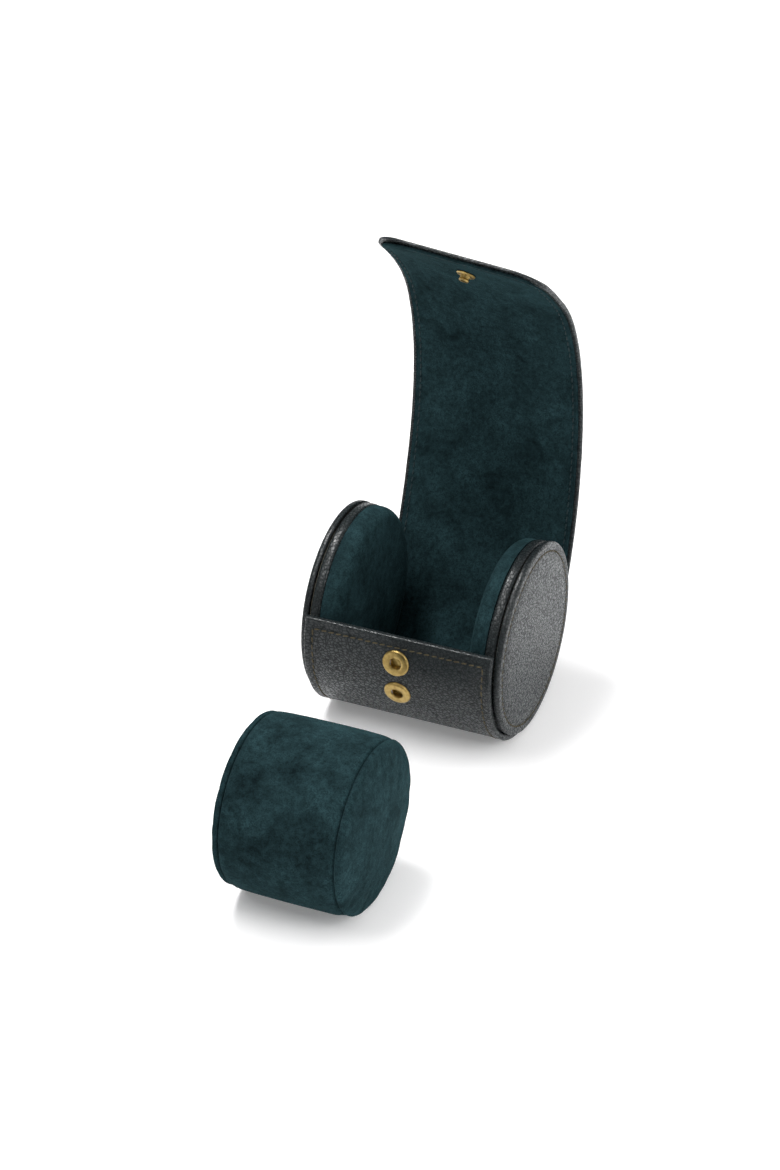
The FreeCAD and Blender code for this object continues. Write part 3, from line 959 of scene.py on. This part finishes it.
# %% End discs
DISC_EDGE = 1.1 * MM
DISC_BACK_EDGE = 0.4 * MM
DISC_SEAM_R = 34.4 * MM
DISC_CHANNEL = 0.32 * MM      # depth of its sewn channel
DISC_RINGS, DISC_RING = 5, 5.5 * MM       # rings of the padded face and their width
DISC_CROWN = 0.07 * MM        # rise at each ring
DISC_THICK = HALF_LENGTH - DISC_INNER
ROUND = 160                   # corners of a large circle
SIDES = (("right", 1), ("left", -1))


def along_roll(x, way):
    """Place on the roll's axis, with Z turned to point along it."""
    return Matrix.Translation((x, 0, AXIS.z)) @ Matrix.Rotation(math.radians(90 * way), 4, "Y")


def set_in(piece, matrix, material, angle=40):
    """Move a piece to its seat in the case and dress it."""
    remember_pattern(piece)
    piece.matrix_world = matrix
    apply_place(piece)
    smooth(piece, angle)
    wear(piece, material)
    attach(piece, CASE)


def make_disc(name):
    bpy.ops.mesh.primitive_circle_add(vertices=ROUND, radius=DISC_R, fill_type="NGON")
    disc = new_piece(name)
    edit(disc)
    thicken(DISC_THICK)
    round_rim(disc, (DISC_THICK,), DISC_EDGE, 7)
    round_rim(disc, (0,), DISC_BACK_EDGE, 3)
    pick_faces(disc, lambda co, way: way.z > LEVEL and co.z > DISC_THICK / 2)
    sink_channel(DISC_R - DISC_EDGE - DISC_SEAM_R - CHANNEL / 2, DISC_CHANNEL)
    for _ in range(DISC_RINGS):
        bpy.ops.mesh.inset(thickness=DISC_RING, depth=DISC_CROWN)
    finish_edit()
    return disc


disc_seam = []
count = round(math.tau * DISC_SEAM_R / PITCH)
for i in range(count):
    a = math.tau * i / count
    disc_seam.append((Vector((math.cos(a), math.sin(a))) * DISC_SEAM_R, a + math.pi / 2))
disc_stitch = make_stitch("disc_stitch")
for side, way in SIDES:
    disc = make_disc("disc_" + side)
    thread_height = DISC_THICK - DISC_CHANNEL + STITCH_WIDTH * 0.3
    ring = sew("disc_stitches_" + side, disc_seam, disc_stitch, thread_height)
    seat = along_roll(DISC_INNER * way, way)
    set_in(disc, seat, GREEN_LEATHER)
    set_in(ring, seat, TAN_THREAD)
    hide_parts("end_disc_" + side)
bpy.data.objects.remove(disc_stitch)
print("discs with", count, "stitches each")

# %% Turned pieces


def spun(name, profile, corners=ROUND):
    """Turn a closed line of (radius, height) points about Z."""
    bpy.ops.mesh.primitive_plane_add(size=MM)
    piece = new_piece(name)
    edit(piece, "VERT")
    select_all()
    bpy.ops.mesh.merge(type="CENTER")
    bpy.ops.transform.translate(value=(profile[0][0], 0, profile[0][1]))
    for (r0, z0), (r1, z1) in zip(profile, profile[1:]):
        bpy.ops.mesh.extrude_vertices_move(TRANSFORM_OT_translate={"value": (r1 - r0, 0, z1 - z0)})
    select_all()
    bpy.ops.mesh.spin(steps=corners, angle=math.tau, center=(0, 0, 0), axis=(0, 0, 1))
    select_all()
    bpy.ops.mesh.remove_doubles(threshold=0.002 * MM)
    bpy.ops.mesh.normals_make_consistent(inside=False)
    finish_edit()
    return piece


def soft_corner(centre, radius, start, stop, count=6):
    """Points of an arc in a profile, angles in degrees."""
    points = []
    for i in range(count + 1):
        a = math.radians(start + (stop - start) * i / count)
        points.append((centre[0] + radius * math.cos(a), centre[1] + radius * math.sin(a)))
    return points


# %% Rim bands
band_low, band_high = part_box("rim_band_right")
BAND_R = (band_high.z - band_low.z) / 2
BAND_WIDTH = band_high.x - band_low.x
BAND_THICK = 1.8 * MM
BAND_ROUND = 1.15 * MM
inner_r = BAND_R - BAND_THICK
profile = [(inner_r, 0)]
profile += soft_corner((BAND_R - BAND_ROUND, BAND_ROUND), BAND_ROUND, -90, 0)
profile += soft_corner((BAND_R - BAND_ROUND, BAND_WIDTH - BAND_ROUND), BAND_ROUND, 0, 90)
profile += [(inner_r, BAND_WIDTH), (inner_r, 0)]
for side, way in SIDES:
    band = spun("band_" + side, profile)
    set_in(band, along_roll(band_low.x * way, way), GREEN_LEATHER)
    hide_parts("rim_band_" + side)
print("bands", round(BAND_WIDTH / MM, 2), "mm wide")

# %% [markdown]
# The pads are soft foam under stretched suede, with a fat rounded edge. The cushion is longer than
# the room between them and is held by their squeeze, so the pad on its side stands at its full
# height while the cushion lies outside.

# %% End pads
pad_low, pad_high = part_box("end_pad_right")
PAD_R = (pad_high.z - pad_low.z) / 2
PAD_THICK = 7.6 * MM          # of the free pad
PAD_EDGE = 5.2 * MM
PAD_CROWN = 0.5 * MM          # rise of the face from its edge to its middle
PAD_RINGS = 12
CUSHION_PUFF = 1.3 * MM       # room for the cushion's domed end
pad_profile = [(0, 0), (PAD_R, 0)]
pad_profile += soft_corner((PAD_R - PAD_EDGE, PAD_THICK - PAD_CROWN - PAD_EDGE), PAD_EDGE, 0, 84, 12)
for i in reversed(range(PAD_RINGS)):
    share = i / PAD_RINGS
    pad_profile.append(((PAD_R - PAD_EDGE) * share, PAD_THICK - PAD_CROWN * share ** 3))
for side, way in SIDES:
    pad = spun("pad_" + side, pad_profile)
    set_in(pad, along_roll(pad_high.x * way, -way), GREEN_SUEDE, 60)
    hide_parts("end_pad_" + side)
    room = pad_high.x - abs(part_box("cushion_end_" + side)[(1 + way) // 2].x) - CUSHION_PUFF
    if room < PAD_THICK:
        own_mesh(pad)
        print("pad", side, "is pressed to", round(room / MM, 2), "mm")
print("pads", round(PAD_R / MM, 1), "mm")

# %% [markdown]
# ## The watch cushion
#
# A watch is strapped round this soft roll. Its cover is a tube of suede over foam, with a round panel
# sewn to each end whose edge puffs out beyond the seam. The blank is turned with its seam valleys in
# place and a little too slim; the seams are then pinned and Cloth blows up the rest, as the foam
# does, so the barrel swells between the seams and the end panels dome by themselves. Cloth takes
# points and edges in the order the mesh has them, so they are first sorted by their distance from a
# fixed point: every run then gives the same cushion.

# %% Cushion blank
cover_low, cover_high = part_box("cushion_cover")
CUSHION_R = (cover_high.y - cover_low.y) / 2
CUSHION_HALF = (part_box("cushion_end_right")[1].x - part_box("cushion_end_left")[0].x) / 2
CUSHION_MID = (cover_low + cover_high) / 2
CUSHION_MID.z = cover_high.z - CUSHION_R
SWELL = 0.7 * MM              # what the cloth is left to add
END_ROUND = 3.6 * MM          # puffed edge beyond the seam
SEAM_DEPTH = 1.2 * MM
SEAM_HALF = 0.55 * MM         # half width of the seam's valley
BARREL_DROP = 0.5 * MM        # barrel's end below its middle
DOME = 0.9 * MM               # rise of the end panel
END_TUCK = 0.2 * MM           # puffed edge pulled in by its seam
SORT_FROM = (0.0137, 0.0291, 0.1110)      # off every plane of symmetry
CUSHION_CORNERS = 120
BARREL_STEPS = 11
END_RINGS = 9

barrel_r = CUSHION_R - SWELL
end_flat = CUSHION_HALF - SWELL - DOME
seam_at = end_flat - END_ROUND
half_profile = []
for i in range(BARREL_STEPS + 1):
    share = i / BARREL_STEPS
    half_profile.append((barrel_r - BARREL_DROP * share ** 2, (seam_at - 2 * SEAM_HALF) * share))
edge_r = barrel_r - BARREL_DROP
half_profile += [(edge_r - 0.35 * SEAM_DEPTH, seam_at - SEAM_HALF), (edge_r - SEAM_DEPTH, seam_at),
                 (edge_r - 0.45 * SEAM_DEPTH, seam_at + SEAM_HALF)]
half_profile += soft_corner((edge_r - END_ROUND, end_flat - END_ROUND + SEAM_HALF),
                            END_ROUND - END_TUCK, 18, 90, 6)
flat_r = half_profile[-1][0]
for i in reversed(range(END_RINGS)):
    share = i / END_RINGS
    half_profile.append((flat_r * share, end_flat + SEAM_HALF - END_TUCK + DOME * (1 - share ** 2)))
other_half = [(r, -z) for r, z in reversed(half_profile[1:])]
cushion = spun("cushion", other_half + half_profile, CUSHION_CORNERS)
cursor = bpy.context.scene.cursor
cursor.location = SORT_FROM
edit(cushion)
select_all()
bpy.ops.mesh.sort_elements(type="CURSOR_DISTANCE", elements={"VERT", "EDGE", "FACE"})
finish_edit()
cursor.location = (0, 0, 0)
print("cushion blank", len(cushion.data.polygons), "faces")

# %% Let the foam fill it
FOAM_FRAMES = 20
FOAM_PRESSURE = 14.0
FOAM_STRETCH = -0.02          # Cloth's shrink factor: the suede gives a little
MOST_SWELL = 1.1 * MM         # how far any point may move
LUMP_SIZE, LUMP_HEIGHT = 0.03, 0.55 * MM

pinned = cushion.vertex_groups.new(name="seam")
for vert in cushion.data.vertices:
    if abs(abs(vert.co.z) - seam_at) < SEAM_HALF / 2:
        pinned.add([vert.index], 1.0, "REPLACE")


def fill_with_foam(piece, pins, pressure, frames, most):
    """Run Cloth with inner pressure, keep its result and cap how far each point went."""
    start = [vert.co.copy() for vert in piece.data.vertices]
    cloth = piece.modifiers.new("Foam", "CLOTH")
    cloth.settings.quality = 6
    cloth.settings.mass = 0.2
    cloth.settings.shrink_min = FOAM_STRETCH
    cloth.settings.use_pressure = True
    cloth.settings.uniform_pressure_force = pressure
    cloth.settings.vertex_group_mass = pins
    cloth.settings.effector_weights.gravity = 0
    cloth.point_cache.frame_start, cloth.point_cache.frame_end = 1, frames
    for frame_number in range(1, frames + 1):
        bpy.context.scene.frame_set(frame_number)
    apply_modifiers(piece)
    moves = []
    for vert, before in zip(piece.data.vertices, start):
        move = vert.co - before
        moves.append(move.length)
        if move.length > most:
            vert.co = before + move.normalized() * most
    bpy.context.scene.frame_set(1)
    print("foam moved the suede by up to", round(max(moves) / MM, 2), "mm")


fill_with_foam(cushion, "seam", FOAM_PRESSURE, FOAM_FRAMES, MOST_SWELL)
ripple(cushion, "foam_lumps", LUMP_SIZE, LUMP_HEIGHT)
cushion.modifiers.new("Soft", "SUBSURF")
apply_modifiers(cushion)
remember_pattern(cushion)
cushion.matrix_world = Matrix.Translation(CUSHION_MID) @ Matrix.Rotation(math.radians(90), 4, "Y")
apply_place(cushion)
rest_on_floor(cushion)
smooth(cushion, 60)
wear(cushion, GREEN_SUEDE)
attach(cushion, "cushion")
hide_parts("cushion_cover", "cushion_core", "cushion_end_right", "cushion_end_left")
heights = [vert.co.z for vert in cushion.data.vertices]
print("cushion from", round(min(heights) / MM, 1), "to", round(max(heights) / MM, 1), "mm above the floor")

# %% [markdown]
# ## The snap
#
# Two sockets sit on the front, so that the flap can close over a thick or a thin watch. A socket is
# pressed from thin sheet: a flat domed ring whose lip rolls into a cup, with two straight wires that
# grip the waist of the stud. It is a turned shape, so its section is drawn and spun.

# %% Sockets
SOCKET = [(0, -1.25), (2.4, -1.25), (2.4, 0.5), (2.48, 0.68), (2.65, 0.78), (3.0, 0.81), (4.6, 0.79),
          (5.0, 0.68), (5.25, 0.45), (5.37, 0.15), (5.4, -0.1), (5.4, -0.4), (3.3, -0.45), (3.3, -1.55),
          (0, -1.55)]                     # radius and height in mm, from the cup's floor round to its back
SOCKET_CORNERS = 64
WIRE_R, WIRE_LENGTH, WIRE_OFF = 0.22 * MM, 4.3 * MM, 2.3 * MM


def on_front(angle):
    """Frame on the front of the wrap, Z pointing out of the leather."""
    a = math.radians(angle)
    out = Vector((0, -math.cos(a), math.sin(a)))
    turn = Matrix((Vector((1, 0, 0)), out.cross(Vector((1, 0, 0))), out)).transposed().to_4x4()
    return Matrix.Translation(AXIS + out * WRAP_R) @ turn


for name, angle in SNAP_ANGLES:
    seat = on_front(angle)
    socket = spun("socket_" + name, [(r * MM, z * MM) for r, z in SOCKET], SOCKET_CORNERS)
    set_in(socket, seat, GOLD)
    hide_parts("snap_socket_" + name)
    for side in (-1, 1):
        bpy.ops.mesh.primitive_cylinder_add(vertices=12, radius=WIRE_R, depth=WIRE_LENGTH,
                                            location=(side * WIRE_OFF, 0, 0), rotation=(math.pi / 2, 0, 0))
        wire = new_piece("wire_%s_%d" % (name, side))
        apply_place(wire)
        set_in(wire, seat, STEEL)
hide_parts("snap_springs")
print("sockets at", [angle for _, angle in SNAP_ANGLES], "degrees")

# %% [markdown]
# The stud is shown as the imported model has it. So are the pieces that no one sees: the washers behind
# the snap halves, the board in each end disc and the firm core behind each pad.

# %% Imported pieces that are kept
KEPT = {"snap_stud": GOLD, "snap_washers": STEEL, "stud_washer": STEEL}
for side, _ in SIDES:
    KEPT["end_board_" + side] = BOARD
    KEPT["end_core_" + side] = FOAM
for node, material in KEPT.items():
    wear(frame["nodes"][node], material)
print("kept", len(KEPT), "packed pieces")

# %% Finish
bpy.data.objects.remove(guide)
